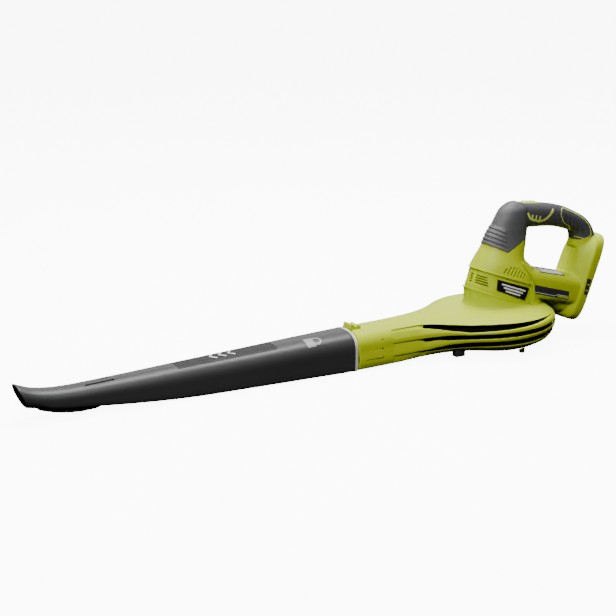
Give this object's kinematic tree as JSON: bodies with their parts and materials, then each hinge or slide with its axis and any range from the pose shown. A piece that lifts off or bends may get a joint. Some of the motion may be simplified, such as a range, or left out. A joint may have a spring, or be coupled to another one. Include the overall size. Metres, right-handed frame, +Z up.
{
  "type": "leaf blower",
  "caption": "Handheld cordless garden blower: round fan case with side louvres, long tapered nozzle, loop handle with thumb slider and an open battery socket.",
  "frame": {"origin": "centre of the bounding box in plan, at the floor the feet stand on", "axes": "+X towards the handle's rear, nozzle along -X, +Y the tool's right-hand side, +Z up"},
  "size_m": [0.9442, 0.1958, 0.2112],
  "materials": {
    "lime": "satin moulded plastic",
    "pale_lime": "fine texture",
    "nozzle_black": "satin moulded plastic",
    "ring_grey": "satin",
    "post_grey": "soft overmould",
    "grip_grey": "soft overmould",
    "badge_black": "gloss",
    "label_dark": "printed film",
    "black_plastic": "moulded",
    "rubber": "matt",
    "steel": "plain",
    "zinc": "zinc plated",
    "copper": "enamelled wire",
    "brass": "plain",
    "ferrite": "dull",
    "carbon": "pressed graphite",
    "red_wire": "insulation",
    "black_wire": "insulation"
  },
  "bodies": {
    "housing": {"badge_left": "badge_black", "badge_right": "badge_black", "bearing_lower": "steel", "bearing_upper": "steel", "brush_left": "carbon", "brush_right": "carbon", "contact_blade_1": "brass", "contact_blade_2": "brass", "contact_blade_3": "brass", "fan_plate": "black_plastic", "foot_front_left": "rubber", "foot_front_right": "rubber", "foot_rear_left": "lime", "foot_rear_right": "lime", "handle_grip_left": "grip_grey", "handle_grip_right": "grip_grey", "housing_left": "lime", "housing_right": "lime", "housing_screw_1": "zinc", "housing_screw_2": "zinc", "housing_screw_3": "zinc", "housing_screw_4": "zinc", "housing_screw_5": "zinc", "housing_screw_6": "zinc", "housing_screw_7": "zinc", "housing_screw_8": "zinc", "intake_grille": "black_plastic", "magnet_left": "ferrite", "magnet_right": "ferrite", "motor_can": "steel", "motor_end_cap": "black_plastic", "motor_screw_left": "zinc", "motor_screw_right": "zinc", "nozzle_ring": "ring_grey", "post_grip_left": "post_grey", "post_grip_right": "post_grey", "release_spring": "steel", "side_label_left": "label_dark", "side_label_right": "label_dark", "switch_body": "black_plastic", "terminal_block": "black_plastic", "top_label": "label_dark", "volute_wall": "black_plastic", "wire_feed": "red_wire", "wire_motor_live": "red_wire", "wire_motor_return": "black_wire"},
    "rotor": {"motor_shaft": "steel", "armature_core": "ferrite", "winding_upper": "copper", "winding_lower": "copper", "commutator": "copper", "impeller": "black_plastic", "impeller_nut": "zinc"},
    "slider": {"switch_slider": "pale_lime"},
    "button": {"release_button": "lime"},
    "nozzle": {"nozzle": "nozzle_black"}
  },
  "joints": [
    {"name": "rotor_spin", "type": "hinge", "parent": "housing", "child": "rotor", "pos_m": [0.27985, 0, 0.08], "axis": [0, 0, 1], "continuous": true},
    {"name": "switch_slide", "type": "slide", "parent": "housing", "child": "slider", "axis": [-0.9962, 0, 0.0872], "range_m": [0, 0.006]},
    {"name": "button_press", "type": "slide", "parent": "housing", "child": "button", "axis": [0, 0, -1], "range_m": [0, 0.003], "stiffness_N_per_m": 300, "springref_m": -0.001, "deforming": ["release_spring"]},
    {"name": "nozzle_pull", "type": "slide", "parent": "housing", "child": "nozzle", "axis": [-1, 0, 0], "range_m": [0, 0.06]}
  ]
}
